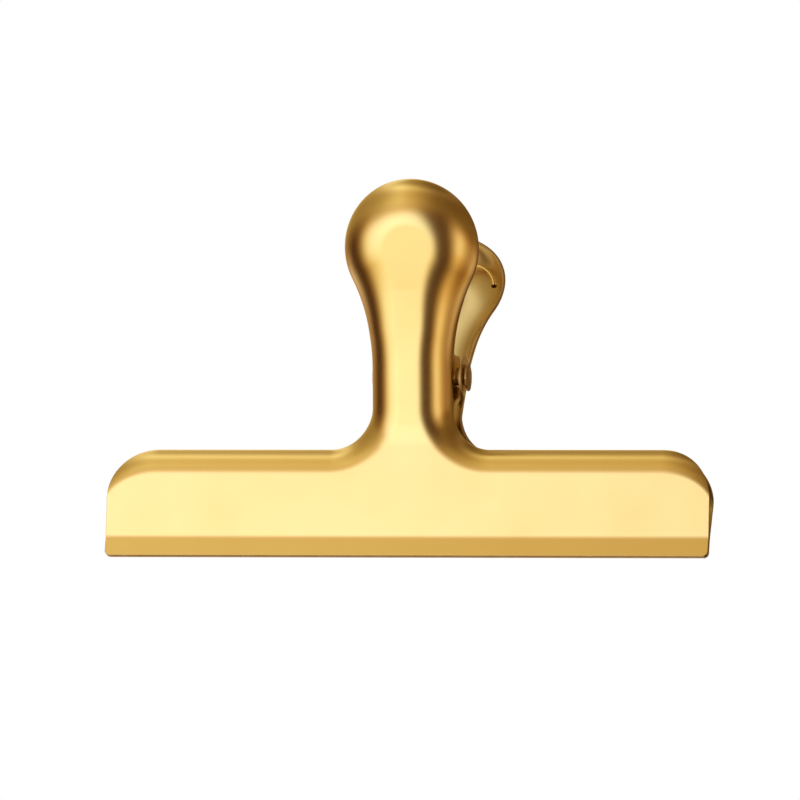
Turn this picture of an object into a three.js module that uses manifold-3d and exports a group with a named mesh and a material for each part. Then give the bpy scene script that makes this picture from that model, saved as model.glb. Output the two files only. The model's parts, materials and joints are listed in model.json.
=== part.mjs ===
// Long tail clip: two stamped sheet jaws on a riveted pin, held shut by a torsion spring.
// Millimetres, +Z up, the lips down and the two handles up. X runs along the jaws, -Y is the front.
// The origin lies on the ground under the middle of the two lips.
import * as THREE from 'three';
import { mergeVertices } from 'three/addons/utils/BufferGeometryUtils.js';
import Module from 'manifold-3d';

const wasm = await Module();
wasm.setup();

// Sheet and clearances
const sheet = 0.55;
const lipGap = 0.3;
const runningGap = 0.3;
const nestGap = 0.4; // between the front neck and the rear neck, which lies beside it, one sheet to the right
const rimGap = 3; // between the two rims from the pin down to the bar's ends

// Side profile of a jaw, measured up its outer face from the lip: lengths, and leans from upright
const lipHeight = 3.6;
const lipLean = -2; // the lips flare a little towards their foot, so they meet at the crease
const creaseLength = 1.2;
const barHeight = 21.1;
const barLean = 11.5;
const waistLength = 5;
const handleLength = 52;
const handleLean = 21.2;

// Outline of a jaw seen square to its face
const barLength = 120;
const barCorner = 9.8;
const lipCorner = 1;
const neckFillet = 7.8;
const neckWidth = 16.1;
const flareRadius = 38.5;
const headRadius = 13.4;

// The turned rim round that outline: outer bend radii, how far it turns and how deep it reaches
const barBend = 5.2;
const neckBend = 5;
const neckDepth = 5.3;
const headBend = 7;
const headDepth = 5.2;
const headTurn = 75;
const headBlendStart = 42;
const headBlendLength = 12;

// Pivot ears, and the step that carries the rear jaw's right ear further out than its neck
const pinHeight = 36.5;
const earRadius = 4.1;
const earRoot = 0.6;
const earStep = 0.6;
const earStepStart = 5.9;
const earStepLength = 1.5;

// Pin and its two riveted heads
const pinDiameter = 3.2;
const rivetDiameter = 5.3;
const rivetThickness = 0.6;
const rivetEdge = 0.2;

// Torsion spring
const wire = 1.1;
const coilDiameter = 5.6; // to the middle of the wire
const coilTurns = 4;
const legSpacing = 5.4;
const hookRadius = 6.3;
const hookSweep = 172;
const hookBelowCrown = 6;
const hookSeat = 1.1; // the hook bears on the head's rolled rim, this far off the flat inner face

// How finely the round shapes are drawn
const headSteps = 12;
const flareSteps = 5;
const filletSteps = 7;
const cornerSteps = 7;
const bendSteps = 5;
const earSteps = 8;
const pinSides = 20;
const coilSteps = 8;
const hookSteps = 9;
const wireSides = 5;

const rad = THREE.MathUtils.degToRad;
const crown = barHeight + handleLength;
const neckHalf = neckWidth / 2;
const halfPi = Math.PI / 2;

// The outer face's side profile as arcs and straight runs, each turning steadily from one lean to the next
const profile = [
  { length: lipHeight - creaseLength / 2, from: rad(lipLean), to: rad(lipLean) },
  { length: creaseLength, from: rad(lipLean), to: rad(barLean) },
  { length: barHeight - lipHeight - creaseLength / 2, from: rad(barLean), to: rad(barLean) },
  { length: waistLength, from: rad(barLean), to: rad(handleLean) },
  { length: handleLength - waistLength, from: rad(handleLean), to: rad(handleLean) },
];

// The front jaw's outer face at height s along it, from its foot: how far back and up, and how far it leans out
function traceFace(s) {
  let y = 0;
  let z = 0;
  let lean = profile[0].from;
  let start = 0;
  for (const run of profile) {
    const part = Math.min(Math.max(s - start, 0), run.length);
    const end = run.from + (run.to - run.from) * (part / run.length);
    const chord = part * (end === run.from ? 1 : Math.sin((end - run.from) / 2) / ((end - run.from) / 2));
    y -= chord * Math.sin((run.from + end) / 2);
    z += chord * Math.cos((run.from + end) / 2);
    if (part > 0) lean = end;
    start += run.length;
  }
  return { y, z, lean };
}

// The two jaws come nearest at the foot, or where the crease is upright above lips that flare
const nearest = traceFace(lipLean < 0 ? lipHeight - creaseLength * (0.5 + lipLean / (barLean - lipLean)) : 0);
const footY = -(lipGap / 2 + sheet * Math.cos(nearest.lean)) - nearest.y;
const footZ = Math.max(0, -sheet * Math.sin(rad(lipLean))); // stands the lower edge of a flared lip on the ground

function faceAt(s) {
  const { y, z, lean } = traceFace(s);
  return { y: footY + y, z: footZ + z, lean };
}

// The pin seen from the handle's straight run: its height along the face and its depth behind it
function pinFromFace() {
  const s = barHeight + waistLength;
  const { y, z, lean } = faceAt(s);
  return {
    s: s + y * Math.sin(lean) + (pinHeight - z) * Math.cos(lean),
    depth: -y * Math.cos(lean) + (pinHeight - z) * Math.sin(lean),
  };
}

const pin = pinFromFace();

// The rim's cross-section at height s of the handle or bar: bend radius, turn and depth. Where the rim of the
// other jaw leaves it less room than a full turn needs, it turns less
function rimAt(s) {
  const towardsHead = THREE.MathUtils.smoothstep(s, headBlendStart, headBlendStart + headBlendLength);
  const mix = THREE.MathUtils.lerp;
  const { y, lean } = faceAt(s);
  const toMiddle = (-y - rimGap / 2) / Math.cos(lean);
  const radius = mix(s > barHeight ? neckBend : barBend, headBend, towardsHead);
  const depth = s < pin.s ? toMiddle : mix(neckDepth, headDepth, towardsHead);
  const room = Math.acos(Math.max(-1, 1 - depth / radius));
  return { radius, depth, turn: Math.min(rad(mix(90, headTurn, towardsHead)), room) };
}

// The straight run past the rim's bend that takes it to its depth
function straightRun({ radius, turn, depth }) {
  return Math.max(0, (depth - radius * (1 - Math.cos(turn))) / Math.sin(turn));
}

// One column of the rim: a point of the outline, the way out from it, and the cross-section there
function column(x, s, angle, change = {}) {
  const nearest = Math.min(s, crown);
  return { x, s, outX: Math.cos(angle), outS: Math.sin(angle), ...rimAt(nearest), ...change };
}

// One half of the outline from the crown down to the lip, with the ear as a lobe of the rim's depth
function halfColumns(half) {
  const columns = [];
  const headS = crown - headRadius;
  const flareX = half + flareRadius;
  const drop = Math.sqrt((headRadius + flareRadius) ** 2 - flareX ** 2);
  const flareS = headS - drop;
  const flareAngle = Math.atan2(drop, flareX);
  const filletS = barHeight + neckFillet;
  const earEnds = earRadius + earRoot;

  for (let i = 0; i <= headSteps; i++) {
    const angle = THREE.MathUtils.lerp(halfPi, -flareAngle, i / headSteps);
    columns.push(column(headRadius * Math.cos(angle), headS + headRadius * Math.sin(angle), angle));
  }

  const sideColumn = (s, change) => {
    const angle = s > flareS ? Math.asin((s - flareS) / flareRadius) : 0;
    columns.push(column(flareX - flareRadius * Math.cos(angle), s, -angle, change));
  };
  const flareTop = flareS + flareRadius * Math.sin(flareAngle);
  for (let i = 1; i < flareSteps; i++) sideColumn(THREE.MathUtils.lerp(flareTop, pin.s + earEnds, i / flareSteps));
  sideColumn(pin.s + earEnds, { depth: neckDepth });
  for (let i = 0; i <= earSteps; i++) {
    const angle = Math.PI * (i / earSteps);
    const lobe = { depth: pin.depth + earRadius * Math.sin(angle) };
    sideColumn(pin.s + earRadius * Math.cos(angle), lobe);
  }
  sideColumn(pin.s - earEnds);

  for (let i = 0; i <= filletSteps; i++) {
    const angle = halfPi * (i / filletSteps);
    const x = half + neckFillet * (1 - Math.cos(angle));
    columns.push(column(x, filletS - neckFillet * Math.sin(angle), angle));
  }

  const cornerX = barLength / 2 - barCorner;
  const cornerS = barHeight - barCorner;
  const topRim = rimAt(barHeight);
  for (let i = 0; i <= cornerSteps; i++) {
    const angle = halfPi * (1 - i / cornerSteps);
    const left = 1 - i / cornerSteps; // the rim turns less and less towards the jaw's cut end
    const fading = { ...topRim, turn: topRim.turn * left, straight: straightRun(topRim) * left };
    const x = cornerX + barCorner * Math.cos(angle);
    columns.push(column(x, cornerS + barCorner * Math.sin(angle), angle, fading));
  }

  const flat = { turn: 0, straight: 0 };
  for (const s of [lipHeight + creaseLength / 2, lipHeight, lipHeight - creaseLength / 2]) {
    columns.push(column(barLength / 2, s, 0, flat));
  }
  for (let i = 0; i <= 2; i++) {
    const angle = -halfPi * (i / 2);
    const x = barLength / 2 - lipCorner * (1 - Math.cos(angle));
    columns.push(column(x, lipCorner * (1 + Math.sin(angle)), angle, flat));
  }
  return columns;
}

// The rim's cross-section as points: how far in from the outline, how deep, on the outer and inner face
function section(col, step) {
  const { radius, turn } = col;
  const straight = col.straight ?? straightRun(col);
  const width = radius * Math.sin(turn) + straight * Math.cos(turn);
  const rows = [];
  for (let i = 0; i <= bendSteps; i++) {
    const angle = turn * (i / bendSteps);
    rows.push({ in: width - radius * Math.sin(angle), deep: radius * (1 - Math.cos(angle)), angle });
  }
  const bent = rows[bendSteps];
  for (const mark of [0, 0.5, 1, Infinity]) {
    const deep = earStepStart + earStepLength * mark;
    const along = turn > 0 ? Math.min(straight, Math.max(0, (deep - bent.deep) / Math.sin(turn))) : 0;
    const at = bent.deep + along * Math.sin(turn);
    const out = step * THREE.MathUtils.smoothstep(at, earStepStart, earStepStart + earStepLength);
    rows.push({ in: bent.in - along * Math.cos(turn) - out, deep: at, angle: turn });
  }
  return rows.map((row) => ({
    outer: [row.in, row.deep],
    inner: [row.in + sheet * Math.sin(row.angle), row.deep + sheet * Math.cos(row.angle)],
  }));
}

// A jaw as one closed sheet. side is -1 for the front jaw and 1 for the rear one; right and left give half
// the neck's width and the step in the ear on each side
function jawShell(side, right, left) {
  const positions = [];
  const triangles = [];
  const place = (col, mirror, [inwards, deep]) => {
    const s = col.s - col.outS * inwards;
    const { y, z, lean } = faceAt(s);
    const x = mirror * (col.x - col.outX * inwards);
    positions.push(x, -side * (y + deep * Math.cos(lean)), z + deep * Math.sin(lean));
    return positions.length / 3 - 1;
  };
  const triangle = (a, b, c) => triangles.push(...(side < 0 ? [a, c, b] : [a, b, c]));

  const buildRim = ({ half, step }, mirror) => halfColumns(half).map((col) => {
    const rows = section(col, step);
    const edge = (face) => rows.map((row) => place(col, mirror, row[face]));
    return { s: col.s - col.outS * rows[0].outer[0], outer: edge('outer'), inner: edge('inner') };
  });
  const rightRim = buildRim(right, 1);
  const leftRim = buildRim(left, -1);

  // The rim: strips round the loop over both faces and the cut edge
  const loop = [...rightRim, ...leftRim.slice(1).reverse()];
  loop.forEach((here, i) => {
    const next = loop[(i + 1) % loop.length];
    const around = (rim) => [...rim.outer, ...[...rim.inner].reverse()];
    const a = around(here);
    const b = around(next);
    for (let j = 0; j < a.length - 1; j++) {
      triangle(a[j], a[j + 1], b[j + 1]);
      triangle(a[j], b[j + 1], b[j]);
    }
  });

  // The flat middle: level rows from left to right, joined to the row below
  const levels = [];
  rightRim.forEach((rim, i) => {
    const last = levels[levels.length - 1];
    if (last && Math.abs(last.s - rim.s) < 1e-6) {
      last.right.push(i);
    } else {
      levels.push({ s: rim.s, right: [i] });
    }
  });
  const levelRow = (indices, face) => {
    const rights = indices.map((i) => rightRim[i][face][0]);
    const lefts = indices.map((i) => leftRim[i][face][0]).reverse();
    return [...lefts, ...rights];
  };
  for (const face of ['outer', 'inner']) {
    for (let k = 0; k < levels.length - 1; k++) {
      const upper = levelRow(levels[k].right, face);
      const lower = levelRow(levels[k + 1].right.slice(0, 1), face);
      joinRows(upper, lower, positions, (a, b, c) => (face === 'outer' ? triangle(a, c, b) : triangle(a, b, c)));
    }
  }

  const geometry = new THREE.BufferGeometry();
  geometry.setAttribute('position', new THREE.Float32BufferAttribute(positions, 3));
  geometry.setIndex(triangles);
  return withoutSlivers(mergeVertices(geometry, 1e-4));
}

// Triangles between two level rows, always taking the row whose next point lies further left
function joinRows(upper, lower, positions, triangle) {
  const x = (i) => positions[3 * i];
  let u = 0;
  let l = 0;
  while (u < upper.length - 1 || l < lower.length - 1) {
    const takeUpper = l === lower.length - 1 || (u < upper.length - 1 && x(upper[u + 1]) < x(lower[l + 1]));
    if (takeUpper) {
      triangle(upper[u], lower[l], upper[u + 1]);
      u += 1;
    } else {
      triangle(upper[u], lower[l], lower[l + 1]);
      l += 1;
    }
  }
}

// The same geometry without the triangles whose corners were merged
function withoutSlivers(geometry) {
  const index = geometry.getIndex().array;
  const kept = [];
  for (let i = 0; i < index.length; i += 3) {
    const [a, b, c] = [index[i], index[i + 1], index[i + 2]];
    if (a !== b && b !== c && c !== a) kept.push(a, b, c);
  }
  geometry.setIndex(kept);
  return geometry;
}

function solidOf(geometry) {
  const bare = geometry.clone();
  bare.deleteAttribute('normal');
  bare.deleteAttribute('uv');
  const merged = withoutSlivers(mergeVertices(bare, 1e-4));
  return new wasm.Manifold(new wasm.Mesh({
    numProp: 3,
    vertProperties: new Float32Array(merged.getAttribute('position').array),
    triVerts: new Uint32Array(merged.getIndex().array),
  }));
}

function geometryOf(solid) {
  const mesh = solid.getMesh();
  const geometry = new THREE.BufferGeometry();
  geometry.setAttribute('position', new THREE.Float32BufferAttribute(mesh.vertProperties, 3));
  geometry.setIndex(Array.from(mesh.triVerts));
  return geometry;
}

// A jaw with the pin's hole through both ears
function jaw(side, right, left) {
  const drill = new THREE.CylinderGeometry(
    pinDiameter / 2 + runningGap, pinDiameter / 2 + runningGap, barLength, pinSides,
  );
  drill.rotateZ(halfPi);
  drill.translate(0, 0, pinHeight);
  return geometryOf(solidOf(jawShell(side, right, left)).subtract(solidOf(drill)));
}

// The ears interleave: on the right the rear ear lies outside the front one, on the left inside it
const nest = sheet + nestGap;
const frontSide = { half: neckHalf, step: 0 };
const rearRight = { half: neckHalf + nest, step: earStep };
const rearLeft = { half: neckHalf - nest, step: 0 };

// The pin turned about X: a shank between two flat riveted heads outside the outermost ears
function pivotPin() {
  const rivet = rivetDiameter / 2;
  const headAt = (seat) => [
    [pinDiameter / 2, seat],
    [rivet, seat],
    [rivet, seat + rivetThickness - rivetEdge],
    [rivet - rivetEdge, seat + rivetThickness],
    [0, seat + rivetThickness],
  ];
  const rightHead = headAt(rearRight.half + rearRight.step + runningGap);
  const leftHead = headAt(frontSide.half + runningGap).reverse().map(([r, x]) => [r, -x]);
  const points = [...leftHead, ...rightHead].map(([r, x]) => new THREE.Vector2(r, x));
  const geometry = new THREE.LatheGeometry(points, pinSides);
  geometry.rotateZ(-halfPi);
  geometry.translate(0, 0, pinHeight);
  return geometry;
}

// How steeply a spring leg rises so that the top of its hook comes to its seat
function legLean() {
  const coil = coilDiameter / 2;
  const reach = pin.depth - sheet - hookSeat - wire / 2;
  const rise = crown - hookBelowCrown - pin.s;
  const length = Math.sqrt(reach ** 2 + rise ** 2 - coil ** 2);
  return { lean: rad(handleLean) + Math.atan2(reach, rise) - Math.atan2(coil, length), length };
}

// The spring's centre line from the front hook's tip, down its leg, round the coil and up to the rear hook
function springPath() {
  const { lean, length } = legLean();
  const coil = coilDiameter / 2;
  const legX = legSpacing / 2;
  const rearPoint = (x, along) => new THREE.Vector3(
    x,
    coil * Math.cos(lean) + along * Math.sin(lean),
    pinHeight - coil * Math.sin(lean) + along * Math.cos(lean),
  );
  const rearLeg = [];
  const hookCentre = length - hookRadius;
  for (let i = 0; i <= hookSteps; i++) {
    const angle = Math.PI - rad(hookSweep) * (i / hookSteps);
    const x = -legX + hookRadius * (1 + Math.cos(angle));
    rearLeg.push(rearPoint(x, hookCentre + hookRadius * Math.sin(angle)));
  }
  const frontLeg = rearLeg.map((p) => new THREE.Vector3(-p.x, -p.y, p.z)).reverse();

  const start = Math.PI + lean;
  const sweep = 2 * Math.PI * coilTurns - Math.PI - 2 * lean;
  const steps = Math.round(coilSteps * sweep / (2 * Math.PI));
  const turns = [];
  for (let i = 0; i <= steps; i++) {
    const angle = start + sweep * (i / steps);
    const x = legX * (1 - 2 * i / steps);
    turns.push(new THREE.Vector3(x, coil * Math.cos(angle), pinHeight + coil * Math.sin(angle)));
  }
  return [...frontLeg, ...turns, ...rearLeg];
}

// The least gap between stretches of the wire that don't follow each other
function leastGap(path) {
  const spacing = wire / 4;
  const fine = [];
  for (let i = 0; i < path.length - 1; i++) {
    const parts = Math.ceil(path[i].distanceTo(path[i + 1]) / spacing);
    for (let j = 0; j < parts; j++) fine.push(path[i].clone().lerp(path[i + 1], j / parts));
  }
  const apart = Math.ceil(coilDiameter / spacing);
  let least = Infinity;
  for (let i = 0; i < fine.length; i++) {
    for (let j = i + apart; j < fine.length; j++) least = Math.min(least, fine[i].distanceTo(fine[j]));
  }
  return least - wire;
}

// One unbroken round wire along a path, with a flat cut at each end
function wireAlong(path) {
  const positions = [];
  const triangles = [];
  const tangents = path.map((p, i) => {
    const before = path[Math.max(i - 1, 0)];
    const after = path[Math.min(i + 1, path.length - 1)];
    return after.clone().sub(before).normalize();
  });
  let normal = new THREE.Vector3(0, 1, 0).cross(tangents[0]).normalize();
  path.forEach((p, i) => {
    normal = normal.clone().addScaledVector(tangents[i], -normal.dot(tangents[i])).normalize();
    const binormal = tangents[i].clone().cross(normal);
    for (let k = 0; k < wireSides; k++) {
      const angle = 2 * Math.PI * k / wireSides;
      const q = p.clone()
        .addScaledVector(normal, Math.cos(angle) * wire / 2)
        .addScaledVector(binormal, Math.sin(angle) * wire / 2);
      positions.push(q.x, q.y, q.z);
    }
  });
  for (let i = 0; i < path.length - 1; i++) {
    for (let k = 0; k < wireSides; k++) {
      const a = i * wireSides + k;
      const b = i * wireSides + (k + 1) % wireSides;
      triangles.push(a, b, b + wireSides, a, b + wireSides, a + wireSides);
    }
  }
  const last = (path.length - 1) * wireSides;
  for (let k = 1; k < wireSides - 1; k++) {
    triangles.push(0, k + 1, k, last, last + k, last + k + 1);
  }
  const geometry = new THREE.BufferGeometry();
  geometry.setAttribute('position', new THREE.Float32BufferAttribute(positions, 3));
  geometry.setIndex(triangles);
  return geometry;
}

const spring = springPath();
console.log(`least gap of the spring to itself: ${leastGap(spring).toFixed(2)} mm`);

// Satin gold-plated steel, a little paler on the pin and warmer on the spring
const plate = new THREE.MeshStandardMaterial({ color: 0xf3cf7c, metalness: 1, roughness: 0.35 });
const rivetMetal = new THREE.MeshStandardMaterial({ color: 0xd8b877, metalness: 1, roughness: 0.45 });
const wireMetal = new THREE.MeshStandardMaterial({ color: 0xe2bf72, metalness: 1, roughness: 0.3 });

const clip = new THREE.Group();
function add(name, geometry, material) {
  const mesh = new THREE.Mesh(geometry, material);
  mesh.name = name;
  clip.add(mesh);
}

add('front_jaw', jaw(-1, frontSide, frontSide), plate);
add('rear_jaw', jaw(1, rearRight, rearLeft), plate);
add('pivot_pin', pivotPin(), rivetMetal);
add('torsion_spring', wireAlong(spring), wireMetal);

export default clip;
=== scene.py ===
import json
import math

import bmesh
import bpy
from mathutils import Matrix, Vector, noise


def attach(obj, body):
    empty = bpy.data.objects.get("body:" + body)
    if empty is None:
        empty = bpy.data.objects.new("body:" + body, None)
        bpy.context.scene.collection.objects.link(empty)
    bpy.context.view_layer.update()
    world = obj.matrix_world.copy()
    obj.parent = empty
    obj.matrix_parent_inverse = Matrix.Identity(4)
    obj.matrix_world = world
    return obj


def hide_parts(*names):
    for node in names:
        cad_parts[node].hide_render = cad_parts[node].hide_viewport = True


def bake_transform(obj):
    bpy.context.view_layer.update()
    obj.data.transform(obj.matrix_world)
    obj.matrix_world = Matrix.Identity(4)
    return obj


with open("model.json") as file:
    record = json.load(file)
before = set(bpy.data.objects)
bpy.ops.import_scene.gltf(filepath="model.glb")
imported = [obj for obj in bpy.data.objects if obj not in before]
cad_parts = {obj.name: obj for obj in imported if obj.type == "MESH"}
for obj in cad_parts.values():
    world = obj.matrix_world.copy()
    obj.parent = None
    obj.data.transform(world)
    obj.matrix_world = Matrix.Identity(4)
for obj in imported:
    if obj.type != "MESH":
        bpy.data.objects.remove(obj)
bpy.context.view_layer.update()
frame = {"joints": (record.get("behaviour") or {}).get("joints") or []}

# Long tail clip: two pressed sheet jaws, a riveted pin and a torsion spring, all gold plated.
# Sizes are in millimetres and become metres where a mesh is made.
# -Y is the front, and the lips are on the ground.
mm = 0.001
tiny = 1e-4  # less than any size here, for telling places apart
pinHeight = frame["joints"][0]["pos_m"][2] / mm
print("frame loaded")


# Helpers

def deselectAll():
    if bpy.context.mode != "OBJECT":
        bpy.ops.object.mode_set(mode="OBJECT")
    bpy.ops.object.select_all(action="DESELECT")


def meshInEdit():
    return bmesh.from_edit_mesh(bpy.context.object.data)


def pick(kind, wanted):  # selects the wanted points, for "VERT", or faces, for "FACE", and nothing else
    bpy.ops.mesh.select_mode(type=kind)
    bpy.ops.mesh.select_all(action="DESELECT")
    bm = meshInEdit()
    for element in bm.verts if kind == "VERT" else bm.faces:
        element.select = wanted(element)
    bm.select_flush_mode()
    bmesh.update_edit_mesh(bpy.context.object.data)


def useModifier(obj, kind, **settings):
    modifier = obj.modifiers.new(kind.title(), kind)
    for key, value in settings.items():
        setattr(modifier, key, value)
    bpy.context.view_layer.objects.active = obj
    bpy.ops.object.modifier_apply(modifier=modifier.name)


def smoothstep(value, low, high):
    t = min(max((value - low) / (high - low), 0), 1)
    return t * t * (3 - 2 * t)


def mix(a, b, share):
    return a + (b - a) * share


# Materials

def srgb(code):  # an sRGB hex value as the linear colour that shaders take
    channels = [int(code[i:i + 2], 16) / 255 for i in (1, 3, 5)]
    return (*(c / 12.92 if c <= 0.04045 else ((c + 0.055) / 1.055) ** 2.4 for c in channels), 1)


def addNode(tree, kind, settings=None, values=None, links=None):
    node = tree.nodes.new("ShaderNode" + kind)
    for name, value in (settings or {}).items():
        setattr(node, name, value)
    for name, value in (values or {}).items():
        node.inputs[name].default_value = value
    for name, source in (links or {}).items():
        tree.links.new(source, node.inputs[name])
    return node


def emptyMaterial(name):
    material = bpy.data.materials.new(name)
    material.use_nodes = True
    material.node_tree.nodes.clear()
    return material, material.node_tree


def metalFinish(name, finish):
    material, tree = emptyMaterial(name)
    place = addNode(tree, "TexCoord").outputs["Object"]
    cloud = addNode(tree, "TexNoise", values={"Scale": 1 / (finish["cloudSize"] * mm), "Detail": 2},
                    links={"Vector": place})
    grain = addNode(tree, "TexNoise", values={"Scale": 1 / (finish["grainSize"] * mm), "Detail": 3},
                    links={"Vector": place})
    tone = addNode(tree, "Mix", {"data_type": "RGBA"},
                   {"A": srgb(finish["colour"]), "B": srgb(finish["deepColour"])},
                   {"Factor": cloud.outputs["Fac"]})
    rough = addNode(tree, "MapRange", values={"To Min": finish["roughness"] - finish["roughSpread"],
                                              "To Max": finish["roughness"] + finish["roughSpread"]},
                    links={"Value": cloud.outputs["Fac"]})
    bump = addNode(tree, "Bump", values={"Strength": finish["bumpStrength"],
                                         "Distance": finish["bumpDepth"] * mm},
                   links={"Height": grain.outputs["Fac"]})
    shader = addNode(tree, "BsdfPrincipled", values={"Metallic": 1},
                     links={"Base Color": tone.outputs["Result"], "Roughness": rough.outputs["Result"],
                            "Normal": bump.outputs["Normal"]})
    addNode(tree, "OutputMaterial", links={"Surface": shader.outputs["BSDF"]})
    return material


# Cold-rolled steel, gold plated and satin finished: soft wide highlights, and a grain seen only close by.
# Its grit of about 0.1 mm is drawn at 0.3 mm, so that it shows at all.
satinGold = metalFinish("goldPlatedSteelSatin", {
    "colour": "#F5D68A", "deepColour": "#F2D080", "cloudSize": 14, "grainSize": 0.3,
    "roughness": 0.25, "roughSpread": 0.02, "bumpStrength": 0.1, "bumpDepth": 0.002,
})
# The same plating, thinner over the sheared edge of the sheet: browner and rougher than the faces
shearedGold = metalFinish("goldPlatedSteelSheared", {
    "colour": "#DDBD80", "deepColour": "#BC965A", "cloudSize": 3, "grainSize": 0.2,
    "roughness": 0.45, "roughSpread": 0.05, "bumpStrength": 0.2, "bumpDepth": 0.01,
})
# The same plating inside the hollow of the jaw, paler, greyer and a little duller: painted shade that tones
# down the light bounced round the hollow
insideGoldPaintedShade = metalFinish("goldPlatedSteelInsidePaintedShade", {
    "colour": "#E8D29C", "deepColour": "#DCC48A", "cloudSize": 10, "grainSize": 0.3,
    "roughness": 0.3, "roughSpread": 0.03, "bumpStrength": 0.1, "bumpDepth": 0.004,
})
# Plated steel hammered cold over the ears: dull and dented
peenedGold = metalFinish("goldPlatedSteelPeened", {
    "colour": "#E8C98A", "deepColour": "#A97F45", "cloudSize": 0.9, "grainSize": 0.5,
    "roughness": 0.36, "roughSpread": 0.1, "bumpStrength": 0.7, "bumpDepth": 0.1,
})
# Plated spring wire, drawn and so smoother than the sheet
drawnGold = metalFinish("goldPlatedSpringWireDrawn", {
    "colour": "#F0CE82", "deepColour": "#E5BE6C", "cloudSize": 4, "grainSize": 0.25,
    "roughness": 0.22, "roughSpread": 0.03, "bumpStrength": 0.1, "bumpDepth": 0.004,
})
# The wire's cut end, bare and oxidised
bareWire = metalFinish("springSteelCropped", {
    "colour": "#7A5638", "deepColour": "#4B3322", "cloudSize": 0.6, "grainSize": 0.2,
    "roughness": 0.5, "roughSpread": 0.08, "bumpStrength": 0.5, "bumpDepth": 0.03,
})
print("materials made")


# Jaws: one kind of blank, its rim turned over and its face pressed, used twice, hollow to hollow

jawSizes = {
    "sheet": 0.55, "lipGap": 0.3, "rimGap": 3,
    # side profile measured up the outer face, with leans from upright in degrees; the handle leans less by
    # its bow at the waist and more by it at the crown, which puts its middle half a millimetre off straight
    "lipHeight": 3.6, "lipLean": -2, "crease": 1.2, "barHeight": 21.1, "barLean": 11.5,
    "waist": 5, "handle": 52, "handleLean": 21.2, "handleBow": 2.5,
    # outline seen square to the face, with each neck's half widths
    "barLength": 120, "barCorner": 9.8, "lipCorner": 1, "neckFillet": 7.8,
    "flareRadius": 38.5, "headRadius": 13.4,
    "frontNeck": 8.05, "rearNeckRight": 9.0, "rearNeckLeft": 7.1,
    # turned rim: how deep and how much wider its bends are, its depths, and its turns in degrees
    "barBend": 5.2, "barSpread": 1.1, "neckBend": 5, "neckSpread": 1.3, "neckDepth": 5.3, "neckTurn": 90,
    "headBend": 6.5, "headSpread": 1.4, "headDepth": 5.2, "headTurn": 75,
    "headBlendStart": 42, "headBlendLength": 12,
    # ears, with the power of the curve that hollows the fillet at their root
    "earRadius": 4.1, "earRoot": 0.9, "earRootPower": 3, "pinHole": 3.8, "edgeBevel": 0.08,
    # joggle that carries the outermost ear past its neighbour
    "joggle": 0.6, "joggleStart": 5.9, "joggleLength": 1.5,
}
jawMesh = {
    "headSteps": 64, "flareSteps": 28, "filletSteps": 20, "cornerSteps": 22, "lipSteps": 6,
    "bendRows": 16, "straightRows": (0.04, 0.08, 0.12, 0.16, 0.2, 0.25, 0.32, 0.42, 0.6, 1),
    "creaseLevels": 8, "waistLevels": 12, "bowLevels": 14, "earLevels": 24, "rootLevels": 7,
    "rootCrowding": 1.5, "pinTries": 4, "weld": 0.008, "cutSnap": 0.004,
    "drillSides": 48, "drillLength": 40, "bevelAngle": 60, "bevelSegments": 2, "smoothAngle": 50,
}
crown = jawSizes["barHeight"] + jawSizes["handle"]


def traceFace(s):  # the outer face at height s along it: how far back and up from its foot, and its lean
    size = jawSizes
    leans = (math.radians(size[key]) for key in ("lipLean", "barLean", "handleLean", "handleBow"))
    lip, bar, handle, bow = leans
    runs = [
        (size["lipHeight"] - size["crease"] / 2, lip, lip),
        (size["crease"], lip, bar),
        (size["barHeight"] - size["lipHeight"] - size["crease"] / 2, bar, bar),
        (size["waist"], bar, handle - bow),
        (size["handle"] - size["waist"], handle - bow, handle + bow),
    ]
    back, up, start, lean = 0, 0, 0, lip
    for length, first, last in runs:
        part = min(max(s - start, 0), length)
        end = mix(first, last, part / length)
        half = (end - first) / 2
        chord = part * (math.sin(half) / half if half else 1)
        back -= chord * math.sin((first + end) / 2)
        up += chord * math.cos((first + end) / 2)
        lean = end if part > 0 else lean
        start += length
    return back, up, lean


def footOfFace():  # sets the creases the lip gap apart and the lower edges on the ground
    size = jawSizes
    pastMiddle = size["lipLean"] / (size["barLean"] - size["lipLean"])
    upright = size["lipHeight"] - size["crease"] * (0.5 + pastMiddle)
    back, _, lean = traceFace(upright)
    clear = size["lipGap"] / 2 + size["sheet"] * math.cos(lean)
    return -clear - back, -size["sheet"] * math.sin(math.radians(size["lipLean"]))


footBack, footUp = footOfFace()


def faceAt(s):
    back, up, lean = traceFace(s)
    return footBack + back, footUp + up, lean


def pinFromFace():  # the pin's height along the handle's face and its depth behind it
    s = jawSizes["barHeight"] + jawSizes["waist"]
    for _ in range(jawMesh["pinTries"]):  # the face is bowed, so its foot square to the pin is closed in on
        back, up, lean = faceAt(s)
        s += back * math.sin(lean) + (pinHeight - up) * math.cos(lean)
    back, up, lean = faceAt(s)
    return s, -back * math.cos(lean) + (pinHeight - up) * math.sin(lean)


pinAlong, pinDepth = pinFromFace()


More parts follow.
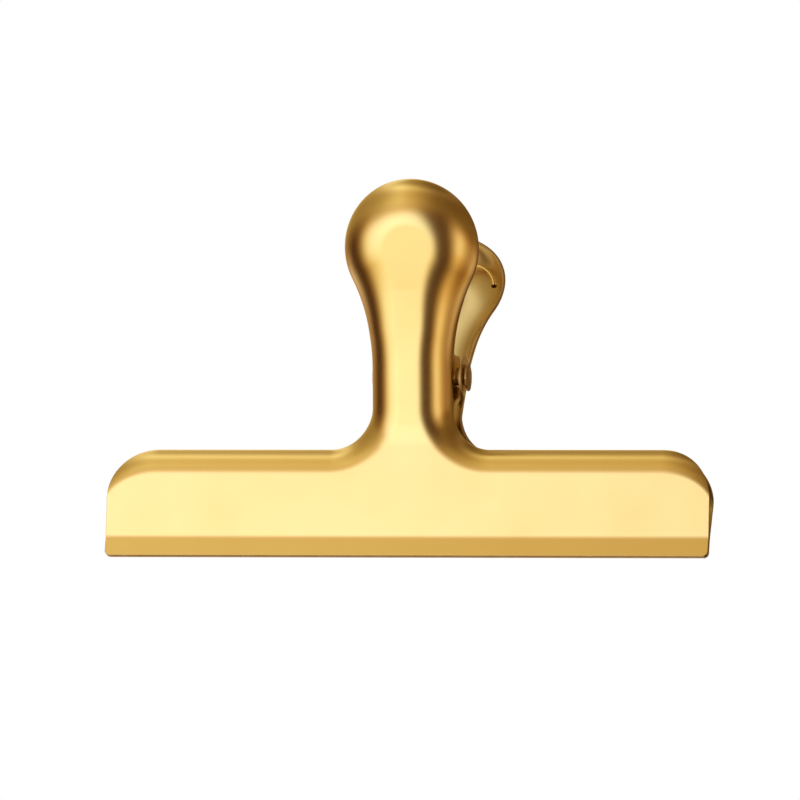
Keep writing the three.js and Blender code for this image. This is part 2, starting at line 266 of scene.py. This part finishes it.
def rimAt(s):  # radius, spread, turn and depth of the rim's bend, which stays clear of the other jaw's
    size = jawSizes
    towardsNeck = smoothstep(s, size["barHeight"], size["barHeight"] + size["neckFillet"])
    towardsHead = smoothstep(s, size["headBlendStart"], size["headBlendStart"] + size["headBlendLength"])
    radius, spread = (
        mix(mix(size["bar" + kind], size["neck" + kind], towardsNeck), size["head" + kind], towardsHead)
        for kind in ("Bend", "Spread")
    )
    back, _, lean = faceAt(s)
    toMiddle = (-back - size["rimGap"] / 2) / math.cos(lean)
    depth = toMiddle if s < pinAlong else mix(size["neckDepth"], size["headDepth"], towardsHead)
    room = math.acos(max(-1, 1 - depth / radius))
    fullTurn = math.radians(mix(size["neckTurn"], size["headTurn"], towardsHead))
    turn = math.atan2(spread * math.sin(fullTurn), math.cos(fullTurn))
    return radius, spread, min(turn, room), depth


def earDepth(s, rimDepth):  # a round lobe about the pin, with a hollow fillet down to the rim
    size = jawSizes
    off = abs(s - pinAlong)
    if off <= size["earRadius"]:
        return pinDepth + math.sqrt(max(0, size["earRadius"] ** 2 - off ** 2))
    left = max(0, 1 - (off - size["earRadius"]) / size["earRoot"])
    return mix(rimDepth, pinDepth, left ** size["earRootPower"])


def steepness(spread, turn):  # the slope in which a bend widened by its spread ends
    return math.atan2(math.sin(turn), spread * math.cos(turn))


def rimShape(x, s, out):  # radius, spread and turn of the bend, and the straight run past it
    size = jawSizes
    if s <= size["barHeight"] - size["barCorner"] + tiny:
        return 1, 1, 0, 0  # the bar's ends and the lip are plain cut sheet
    if s <= size["barHeight"] + tiny and abs(x) > size["barLength"] / 2 - size["barCorner"]:
        radius, spread, turn, _ = rimAt(size["barHeight"])
        return radius, spread, turn * max(0, out.z), 0
    radius, spread, turn, depth = rimAt(min(s, crown))
    if s > size["barHeight"] + tiny:
        depth = earDepth(s, depth)
    straight = (depth - radius * (1 - math.cos(turn))) / math.sin(steepness(spread, turn))
    return radius, spread, turn, max(0, straight)


def rimPoint(x, s, out, row, joggle):  # how far in from the outline, and how deep
    size = jawSizes
    radius, spread, turn, straight = rimShape(x, s, out)
    steep = steepness(spread, turn)
    width = spread * radius * math.sin(turn) + straight * math.cos(steep)
    rows = jawMesh["bendRows"]
    angle = turn * min(row, rows) / rows
    along = straight * (jawMesh["straightRows"][row - rows - 1] if row > rows else 0)
    deep = radius * (1 - math.cos(angle)) + along * math.sin(steep)
    aside = joggle * smoothstep(deep, size["joggleStart"], size["joggleStart"] + size["joggleLength"])
    return width - spread * radius * math.sin(angle) - along * math.cos(steep) - aside, deep


def arc(x, s, mirror, degrees, steps):  # turns the drawn line clockwise about (x, s), or its mirror image
    bpy.ops.mesh.spin(steps=steps, angle=math.radians(abs(degrees)), center=(mirror * x * mm, 0, s * mm),
                      axis=(0, -mirror if degrees > 0 else mirror, 0))


def line(x, s, mirror):  # draws on by (x, s), or by its mirror image
    bpy.ops.mesh.extrude_vertices_move(TRANSFORM_OT_translate={"value": (mirror * x * mm, 0, s * mm)})


def drawHalf(half, mirror):  # from the crown round the head, down the neck and along the bar to the middle
    size, mesh = jawSizes, jawMesh
    headS = crown - size["headRadius"]
    flareX = half + size["flareRadius"]
    drop = math.sqrt((size["headRadius"] + size["flareRadius"]) ** 2 - flareX ** 2)
    flareAngle = math.degrees(math.atan2(drop, flareX))
    filletS = size["barHeight"] + size["neckFillet"]
    cornerX = size["barLength"] / 2 - size["barCorner"]
    pick("VERT", lambda point: point.co.z > (crown - tiny) * mm)
    arc(0, headS, mirror, 90 + flareAngle, mesh["headSteps"])
    arc(flareX, headS - drop, mirror, -flareAngle, mesh["flareSteps"])
    line(0, filletS - (headS - drop), mirror)
    arc(half + size["neckFillet"], filletS, mirror, -90, mesh["filletSteps"])
    line(cornerX - half - size["neckFillet"], 0, mirror)
    arc(cornerX, size["barHeight"] - size["barCorner"], mirror, 90, mesh["cornerSteps"])
    line(0, size["lipCorner"] - size["barHeight"] + size["barCorner"], mirror)
    arc(size["barLength"] / 2 - size["lipCorner"], size["lipCorner"], mirror, 90, mesh["lipSteps"])
    line(size["lipCorner"] - size["barLength"] / 2, 0, mirror)


def bentLevels():  # heights at which the flat of the jaw has to bend
    size, mesh = jawSizes, jawMesh
    creaseFoot = size["lipHeight"] - size["crease"] / 2
    creaseSteps, waistSteps = mesh["creaseLevels"], mesh["waistLevels"]
    crease = [creaseFoot + size["crease"] * i / creaseSteps for i in range(creaseSteps + 1)]
    waist = [size["barHeight"] + size["waist"] * i / waistSteps for i in range(1, waistSteps + 1)]
    return crease + waist


def bowLevels():  # heights at which the handle's flat is cut to bow, up to where it widens into the head
    size, steps = jawSizes, jawMesh["bowLevels"]
    foot = size["barHeight"] + size["waist"]
    reach = size["headBlendStart"] + size["headBlendLength"] - foot
    return [foot + reach * i / steps for i in range(1, steps)]


def earLevels():  # heights at which the ear's round edge needs points, closer where it is steep
    radius, length = jawSizes["earRadius"], jawSizes["earRoot"]
    lobeSteps, rootSteps = jawMesh["earLevels"], jawMesh["rootLevels"]
    lobe = [radius * math.cos(math.pi * i / lobeSteps) for i in range(lobeSteps + 1)]
    root = [radius + length * (i / rootSteps) ** jawMesh["rootCrowding"] for i in range(1, rootSteps + 1)]
    return [pinAlong + off for off in lobe + root + [-r for r in root]]


def markOutwards():  # keeps the way out of the blank on each point of its outline
    bm = meshInEdit()
    outwards = bm.verts.layers.float_vector.new("outwards")
    row = bm.verts.layers.int.new("row")
    first = max(bm.verts, key=lambda point: point.co.z)
    edge = max(first.link_edges, key=lambda e: e.other_vert(first).co.x)
    before, here = first, edge.other_vert(first)
    while True:
        after = next(e.other_vert(here) for e in here.link_edges if e.other_vert(here) != before)
        along = (after.co - before.co).normalized()
        here[outwards] = Vector((-along.z, 0, along.x))
        here[row] = 0
        before, here = here, after
        if before == first:
            break
    bmesh.update_edit_mesh(bpy.context.object.data)


def turnRim(joggle):  # extrudes the rim row by row, lays every row on its cross-section and fills the face
    rows = jawMesh["bendRows"] + len(jawMesh["straightRows"])
    bpy.ops.mesh.select_all(action="SELECT")
    for number in range(1, rows + 1):
        bpy.ops.mesh.extrude_edges_move()
        bm = meshInEdit()
        row = bm.verts.layers.int["row"]
        for point in bm.verts:
            if point.select:
                point[row] = number
    bm = meshInEdit()
    outwards, row = bm.verts.layers.float_vector["outwards"], bm.verts.layers.int["row"]
    for point in bm.verts:
        x, s, out = point.co.x / mm, point.co.z / mm, Vector(point[outwards])
        inwards, deep = rimPoint(x, s, out, point[row], joggle if x > 0 else 0)
        point.co = Vector((x - out.x * inwards, deep, s - out.z * inwards)) * mm
    bmesh.update_edit_mesh(bpy.context.object.data)
    pick("VERT", lambda point: point[row] == 0)
    bpy.ops.mesh.edge_face_add()
    bpy.ops.mesh.select_all(action="SELECT")
    bpy.ops.mesh.remove_doubles(threshold=jawMesh["weld"] * mm)


def pressProfile(way):  # bends the flat blank along the side profile, for the front or the rear jaw
    for level in bentLevels() + bowLevels():
        pick("FACE", lambda face: all(abs(point.co.y) < tiny * mm for point in face.verts))
        bpy.ops.mesh.bisect(plane_co=(0, 0, level * mm), plane_no=(0, 0, 1),
                            threshold=jawMesh["cutSnap"] * mm)
    bm = meshInEdit()
    for point in bm.verts:
        deep = point.co.y / mm
        back, up, lean = faceAt(point.co.z / mm)
        point.co.y = -way * (back + deep * math.cos(lean)) * mm
        point.co.z = (up + deep * math.sin(lean)) * mm
    bmesh.update_edit_mesh(bpy.context.object.data)
    bpy.ops.mesh.select_all(action="SELECT")
    bpy.ops.mesh.normals_make_consistent(inside=False)
    bm = meshInEdit()
    if max(bm.faces, key=lambda face: face.calc_area()).normal.y * way < 0:
        bpy.ops.mesh.flip_normals()


def makeDrill():
    bpy.ops.mesh.primitive_cylinder_add(vertices=jawMesh["drillSides"], radius=jawSizes["pinHole"] / 2 * mm,
                                        depth=jawMesh["drillLength"] * mm,
                                        location=(0, 0, pinHeight * mm), rotation=(0, math.pi / 2, 0))
    return bpy.context.object


def makeJaw(name, way, right, left, joggle):
    deselectAll()
    bpy.ops.mesh.primitive_plane_add(size=mm, location=(0, 0, 0))
    jaw = bpy.context.object
    jaw.name = name
    # the plane shrinks to one point, which goes up to the crown, and the outline is drawn from there
    bpy.ops.object.mode_set(mode="EDIT")
    bpy.ops.mesh.merge(type="CENTER")
    bpy.ops.mesh.select_all(action="SELECT")
    bpy.ops.transform.translate(value=(0, 0, crown * mm))
    drawHalf(right, 1)
    drawHalf(left, -1)
    for level in bentLevels() + earLevels():
        bpy.ops.mesh.select_all(action="SELECT")
        bpy.ops.mesh.bisect(plane_co=(0, 0, level * mm), plane_no=(0, 0, 1))
    bpy.ops.mesh.select_all(action="SELECT")
    bpy.ops.mesh.remove_doubles(threshold=jawMesh["weld"] * mm)
    markOutwards()
    turnRim(joggle)
    pressProfile(way)
    bpy.ops.object.mode_set(mode="OBJECT")
    for layer in ("outwards", "row"):
        jaw.data.attributes.remove(jaw.data.attributes[layer])
    # the outer face keeps the first finish, the cut edge takes the second and the inside the third, which
    # is painted shade
    for finish in (satinGold, shearedGold, insideGoldPaintedShade):
        jaw.data.materials.append(finish)
    useModifier(jaw, "SOLIDIFY", thickness=jawSizes["sheet"] * mm, offset=-1, use_even_offset=True,
                use_quality_normals=True, material_offset_rim=1, material_offset=2)
    useModifier(jaw, "BEVEL", width=jawSizes["edgeBevel"] * mm, segments=jawMesh["bevelSegments"],
                limit_method="ANGLE", angle_limit=math.radians(jawMesh["bevelAngle"]),
                use_clamp_overlap=False)
    drill = makeDrill()
    useModifier(jaw, "BOOLEAN", operation="DIFFERENCE", solver="EXACT", object=drill)
    bpy.data.objects.remove(drill)
    deselectAll()
    jaw.select_set(True)
    bpy.context.view_layer.objects.active = jaw
    bpy.ops.object.shade_smooth_by_angle(angle=math.radians(jawMesh["smoothAngle"]))
    useModifier(jaw, "WEIGHTED_NORMAL", keep_sharp=True)
    return jaw


frontJaw = makeJaw("frontJawPressed", -1, jawSizes["frontNeck"], jawSizes["frontNeck"], 0)
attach(frontJaw, "front_side")
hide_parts("front_jaw")
rearJaw = makeJaw("rearJawPressed", 1, jawSizes["rearNeckRight"], jawSizes["rearNeckLeft"],
                  jawSizes["joggle"])
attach(rearJaw, "rear_side")
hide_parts("rear_jaw")
print("jaws made")


# Pin: a plain shank with both ends hammered over

pinSizes = {
    "shank": 3.2, "head": 5.3, "headEdge": 0.35, "dome": 0.2, "leftSeat": -8.1, "rightSeat": 9.9,
    # how deep and wide the dents are, and the share by which the heads are out of round
    "dentDepth": 0.06, "dentSize": 1.1, "outOfRound": 0.05,
    # the dome's rings take in this share of the head's radius
    "domeRings": 9, "domeShare": 0.98, "sides": 64, "smoothAngle": 40,
}


def hammerEnd(way):  # the end face, the only one of many sides that looks this way, grows into a low dome
    size = pinSizes
    pick("FACE", lambda face: face.normal.x * way > 0.9 and len(face.verts) > 4)
    bpy.ops.mesh.extrude_region_move()
    seat = size["rightSeat"] if way > 0 else size["leftSeat"]
    grow = size["head"] / size["shank"]
    bpy.ops.transform.resize(value=(1, grow, grow), center_override=(seat * mm, 0, pinHeight * mm))
    bpy.ops.mesh.extrude_region_move(TRANSFORM_OT_translate={"value": (way * size["headEdge"] * mm, 0, 0)})
    # the squared cosines add up to half the rings, so that the rings rise by the dome's height in all
    rings = size["domeRings"]
    for ring in range(rings):
        slope = math.pi / 2 * (ring + 0.5) / rings
        bpy.ops.mesh.inset(thickness=size["head"] / 2 * size["domeShare"] / rings * mm,
                           depth=size["dome"] * math.cos(slope) ** 2 * 2 / rings * mm)


def dentHeads():
    size = pinSizes
    otherPatch = Vector((7, 0, 0))  # a place in the noise away from the dents' own
    bm = meshInEdit()
    for point in bm.verts:
        seat = size["rightSeat"] if point.co.x > 0 else size["leftSeat"]
        proud = abs(point.co.x) - abs(seat) * mm
        if proud > tiny * mm:
            dent = noise.noise(point.co / (size["dentSize"] * mm)) * size["dentDepth"] * mm
            point.co.x += math.copysign(dent, point.co.x)
            fromAxis = Vector((0, point.co.y, point.co.z - pinHeight * mm))
            swell = noise.noise(point.co / (size["dentSize"] * mm) + otherPatch)
            point.co += fromAxis * size["outOfRound"] * swell
    bmesh.update_edit_mesh(bpy.context.object.data)


def makePin():
    size = pinSizes
    deselectAll()
    middle = (size["leftSeat"] + size["rightSeat"]) / 2
    bpy.ops.mesh.primitive_cylinder_add(vertices=size["sides"], radius=size["shank"] / 2 * mm,
                                        depth=(size["rightSeat"] - size["leftSeat"]) * mm,
                                        location=(middle * mm, 0, pinHeight * mm),
                                        rotation=(0, math.pi / 2, 0))
    pin = bpy.context.object
    pin.name = "pivotPinRiveted"
    bpy.ops.object.transform_apply(location=True, rotation=True, scale=True)
    bpy.ops.object.mode_set(mode="EDIT")
    for way in (1, -1):
        hammerEnd(way)
    dentHeads()
    bpy.ops.object.mode_set(mode="OBJECT")
    pin.data.materials.append(peenedGold)
    bpy.ops.object.shade_smooth_by_angle(angle=math.radians(size["smoothAngle"]))
    return pin


pin = makePin()
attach(pin, "front_side")
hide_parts("pivot_pin")
print("pin made")


# Torsion spring: round wire, coiled on the pin, with a hooked leg up behind each handle

springSizes = {
    "wire": 1.1, "coil": 5.6, "turns": 4, "legSpacing": 5.4, "hookRadius": 6.8, "hookSweep": 172,
    "hookBelowCrown": 6, "hookSeat": 2.5,
    "sides": 20, "stepsPerTurn": 40, "hookSteps": 48, "weld": 0.004, "smoothAngle": 50,
}


def springLean():  # the leg's lean and length from the coil to the top of its hook
    size = springSizes
    coil = size["coil"] / 2
    reach = pinDepth - jawSizes["sheet"] - size["hookSeat"] - size["wire"] / 2
    rise = crown - size["hookBelowCrown"] - pinAlong
    length = math.sqrt(reach ** 2 + rise ** 2 - coil ** 2)
    lean = math.radians(jawSizes["handleLean"]) + math.atan2(reach, rise) - math.atan2(coil, length)
    return lean, length


def makeSpring():
    size = springSizes
    lean, length = springLean()
    coil, legX = size["coil"] / 2, size["legSpacing"] / 2
    deselectAll()
    # the wire's section at the top of the coil, from which one half of the spring is drawn
    bpy.ops.mesh.primitive_circle_add(vertices=size["sides"], radius=size["wire"] / 2 * mm,
                                      location=(0, 0, (pinHeight + coil) * mm),
                                      rotation=(math.pi / 2, 0, 0))
    spring = bpy.context.object
    spring.name = "torsionSpringWound"
    bpy.ops.object.transform_apply(location=True, rotation=True, scale=True)
    bpy.ops.object.mode_set(mode="EDIT")
    bpy.ops.mesh.select_all(action="SELECT")
    sweep = math.pi * size["turns"] - math.pi / 2 - lean
    steps = round(size["stepsPerTurn"] * sweep / (2 * math.pi))
    for _ in range(steps):
        bpy.ops.mesh.spin(steps=1, angle=sweep / steps, center=(0, 0, pinHeight * mm), axis=(-1, 0, 0))
        bpy.ops.transform.translate(value=(-legX / steps * mm, 0, 0))
    leg = Vector((0, math.sin(lean), math.cos(lean)))
    straight = length - size["hookRadius"]
    bpy.ops.mesh.extrude_region_move(TRANSFORM_OT_translate={"value": leg * straight * mm})
    centre = Vector((-legX + size["hookRadius"], coil * math.cos(lean), pinHeight - coil * math.sin(lean)))
    centre += leg * straight
    bpy.ops.mesh.spin(steps=size["hookSteps"], angle=math.radians(size["hookSweep"]), center=centre * mm,
                      axis=Vector((1, 0, 0)).cross(leg))
    bpy.ops.mesh.edge_face_add()
    # the other half is the same, turned half round the upright
    bpy.ops.mesh.select_all(action="SELECT")
    bpy.ops.mesh.duplicate()
    bpy.ops.transform.rotate(value=math.pi, orient_axis="Z", center_override=(0, 0, 0))
    bpy.ops.mesh.select_all(action="SELECT")
    bpy.ops.mesh.remove_doubles(threshold=size["weld"] * mm)
    bpy.ops.mesh.normals_make_consistent(inside=False)
    bpy.ops.object.mode_set(mode="OBJECT")
    spring.data.materials.append(drawnGold)
    spring.data.materials.append(bareWire)
    for face in spring.data.polygons:
        face.material_index = 1 if len(face.vertices) > 4 else 0
    bpy.ops.object.shade_smooth_by_angle(angle=math.radians(size["smoothAngle"]))
    return spring


spring = makeSpring()
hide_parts("torsion_spring")
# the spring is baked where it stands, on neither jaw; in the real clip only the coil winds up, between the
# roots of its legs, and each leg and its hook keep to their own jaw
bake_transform(spring)
print("spring made")


# Studio: pale floor, white background, and a light tent whose print shows only in the metal

studio = {
    "cameraTurn": 12.6, "cameraDrop": 17.45, "distance": 3000,
    "imageSize": 800, "pixelsPerMm": 5.148, "originPixel": (405.3, 556.7),
    "tentRadius": 1000, "tentHeight": 35, "tentSegments": 64, "tentRings": 32,
    "tentLevel": 2.2, "upperStarts": -4, "upperFull": 22,
    "floorColour": "#F2F2F2", "worldLevel": 0.8,
    # in metres and watts
    "viewEnd": 100, "floorSize": 6,
    "lampSize": 0.6, "lampPower": 4, "lampPlace": (-0.35, -0.45, 0.9), "lampAim": (0, 0, 0.03),
}


def makeCamera():
    size = studio
    turn, drop = math.radians(size["cameraTurn"]), math.radians(size["cameraDrop"])
    right = Vector((math.cos(turn), math.sin(turn) * math.cos(drop), math.sin(turn) * math.sin(drop)))
    up = Vector((0, -math.sin(drop), math.cos(drop)))
    towards = right.cross(up)
    half = size["imageSize"] / 2
    aim = right * (half - size["originPixel"][0]) + up * (size["originPixel"][1] - half)
    place = (aim / size["pixelsPerMm"] + towards * size["distance"]) * mm
    data = bpy.data.cameras.new("camera")
    camera = bpy.data.objects.new("camera", data)
    bpy.context.scene.collection.objects.link(camera)
    camera.matrix_world = Matrix.Translation(place) @ Matrix((right, up, towards)).transposed().to_4x4()
    data.lens = data.sensor_width * size["distance"] * size["pixelsPerMm"] / size["imageSize"]
    data.clip_end = size["viewEnd"]
    bpy.context.scene.camera = camera


# What the metal mirrors. Round the sides, by degrees: 0 is straight in front and 90 on the right
tentSides = [
    (-180, "#C4C0B8"), (-160, "#B8AE9C"), (-125, "#A49C98"), (-108, "#7A6E62"), (-94, "#382618"),
    (-80, "#2A140A"), (-70, "#3E2612"), (-60, "#7C6440"), (-52, "#B0A890"), (-44, "#C6CCCE"),
    (-32, "#D0DEEE"), (-20, "#DCE9FF"), (-9, "#DCE9FF"), (-4, "#CCDAE8"), (1, "#6C5836"),
    (5, "#301A0A"), (27, "#341C0C"), (37, "#8A785A"), (48, "#C6BEAC"), (58, "#BCB298"),
    (70, "#92805E"), (88, "#7A6248"), (112, "#9A8C78"), (135, "#54422E"), (150, "#2E2014"),
    (172, "#2E2014"), (180, "#C4C0B8"),
]
# Above them, from the left, -1, to the right, 1
tentAcross = [
    (-1, "#9A8A70"), (-0.6, "#C8BCA4"), (-0.36, "#FFFFFF"), (-0.26, "#FFFFFF"), (-0.21, "#E8DEC6"),
    (-0.1, "#DCD0B4"), (0.1, "#B09C80"), (0.3, "#84705A"), (0.7, "#745E46"), (1, "#7E6A52"),
]
# Tint of both by degrees above the middle of the clip
tentTint = [
    (-90, "#84796E"), (-45, "#A8967E"), (-32, "#D2B688"), (-27, "#E4C898"), (-24, "#F2E2C8"),
    (-21, "#FFFBFF"), (-13, "#FAFAFF"), (-6, "#FFF4FA"), (4, "#BEA684"), (12, "#AC9A80"),
    (21, "#B0AA90"), (35, "#A89C80"), (45, "#A69E88"), (52, "#B8B2A0"), (58, "#CCCCC4"),
    (66, "#AAA492"), (74, "#847A66"), (90, "#766C58"),
]


def printAlong(tree, stops, place, unit=1):  # colours that follow a place, between the first and last stops
    first, last = stops[0][0] * unit, stops[-1][0] * unit
    share = addNode(tree, "MapRange", values={"From Min": first, "From Max": last}, links={"Value": place})
    printed = addNode(tree, "ValToRGB", links={"Fac": share.outputs["Result"]})
    elements = printed.color_ramp.elements
    for stop, _ in stops[1:-1]:
        elements.new((stop * unit - first) / (last - first))
    for element, (_, colour) in zip(elements, stops):
        element.color = srgb(colour)
    return printed.outputs["Color"]


def tentPrint():
    material, tree = emptyMaterial("tentPrint")
    place = addNode(tree, "TexCoord").outputs["Object"]
    way = addNode(tree, "VectorMath", {"operation": "NORMALIZE"}, links={0: place}).outputs["Vector"]
    axes = addNode(tree, "SeparateXYZ", links={"Vector": way})
    front = addNode(tree, "Math", {"operation": "MULTIPLY"}, {1: -1}, {0: axes.outputs["Y"]})
    turn = addNode(tree, "Math", {"operation": "ARCTAN2"},
                   links={0: axes.outputs["X"], 1: front.outputs[0]})
    height = addNode(tree, "Math", {"operation": "ARCSINE"}, links={0: axes.outputs["Z"]})
    degree = math.radians(1)
    upper = addNode(tree, "MapRange", {"interpolation_type": "SMOOTHSTEP"},
                    {"From Min": studio["upperStarts"] * degree, "From Max": studio["upperFull"] * degree},
                    {"Value": height.outputs[0]})
    plain = addNode(tree, "Mix", {"data_type": "RGBA"},
                    links={"Factor": upper.outputs["Result"],
                           "A": printAlong(tree, tentSides, turn.outputs[0], degree),
                           "B": printAlong(tree, tentAcross, axes.outputs["X"])})
    tinted = addNode(tree, "Mix", {"data_type": "RGBA", "blend_type": "MULTIPLY"}, {"Factor": 1},
                     {"A": plain.outputs["Result"],
                      "B": printAlong(tree, tentTint, height.outputs[0], degree)})
    light = addNode(tree, "Emission", values={"Strength": studio["tentLevel"]},
                    links={"Color": tinted.outputs["Result"]})
    addNode(tree, "OutputMaterial", links={"Surface": light.outputs["Emission"]})
    material.cycles.emission_sampling = "NONE"
    return material


def makeTent():
    deselectAll()
    bpy.ops.mesh.primitive_uv_sphere_add(segments=studio["tentSegments"], ring_count=studio["tentRings"],
                                         radius=studio["tentRadius"] * mm)
    tent = bpy.context.object
    tent.name = "lightTent"
    bpy.ops.object.shade_smooth()
    tent.data.materials.append(tentPrint())
    tent.location = (0, 0, studio["tentHeight"] * mm)
    tent.visible_camera = False
    tent.visible_diffuse = False
    tent.visible_shadow = False


def makeFloor():  # clear from below, because the camera looks up through it
    deselectAll()
    bpy.ops.mesh.primitive_plane_add(size=studio["floorSize"])
    floor = bpy.context.object
    floor.name = "floor"
    material, tree = emptyMaterial("paleFloor")
    paint = addNode(tree, "BsdfDiffuse", values={"Color": srgb(studio["floorColour"])})
    clear = addNode(tree, "BsdfTransparent")
    side = addNode(tree, "NewGeometry").outputs["Backfacing"]
    both = addNode(tree, "MixShader",
                   links={"Fac": side, 1: paint.outputs["BSDF"], 2: clear.outputs["BSDF"]})
    addNode(tree, "OutputMaterial", links={"Surface": both.outputs["Shader"]})
    floor.data.materials.append(material)
    floor.visible_glossy = False


def makeWorld():
    world = bpy.data.worlds.new("studio")
    bpy.context.scene.world = world
    world.use_nodes = True
    tree = world.node_tree
    tree.nodes.clear()
    path = addNode(tree, "LightPath")
    mirrored = addNode(tree, "Math", {"operation": "MAXIMUM"},
                       links={0: path.outputs["Is Glossy Ray"], 1: path.outputs["Is Transmission Ray"]})
    seen = addNode(tree, "Math", {"operation": "MAXIMUM"},
                   links={0: path.outputs["Is Camera Ray"], 1: mirrored.outputs[0]})
    level = addNode(tree, "MapRange", values={"To Min": studio["worldLevel"], "To Max": 1},
                    links={"Value": seen.outputs[0]})
    sky = addNode(tree, "Background", values={"Color": (1, 1, 1, 1)},
                  links={"Strength": level.outputs["Result"]})
    addNode(tree, "OutputWorld", links={"Surface": sky.outputs["Background"]})


def makeLamp():
    data = bpy.data.lights.new("softBox", "AREA")
    data.shape = "DISK"
    data.size = studio["lampSize"]
    data.energy = studio["lampPower"]
    lamp = bpy.data.objects.new("softBox", data)
    bpy.context.scene.collection.objects.link(lamp)
    lamp.location = studio["lampPlace"]
    away = Vector(studio["lampAim"]) - lamp.location
    lamp.rotation_euler = away.to_track_quat("-Z", "Y").to_euler()
    lamp.visible_glossy = False


makeCamera()
makeTent()
makeFloor()
makeWorld()
makeLamp()
bpy.context.scene.view_settings.view_transform = "Standard"
deselectAll()
print("studio made")
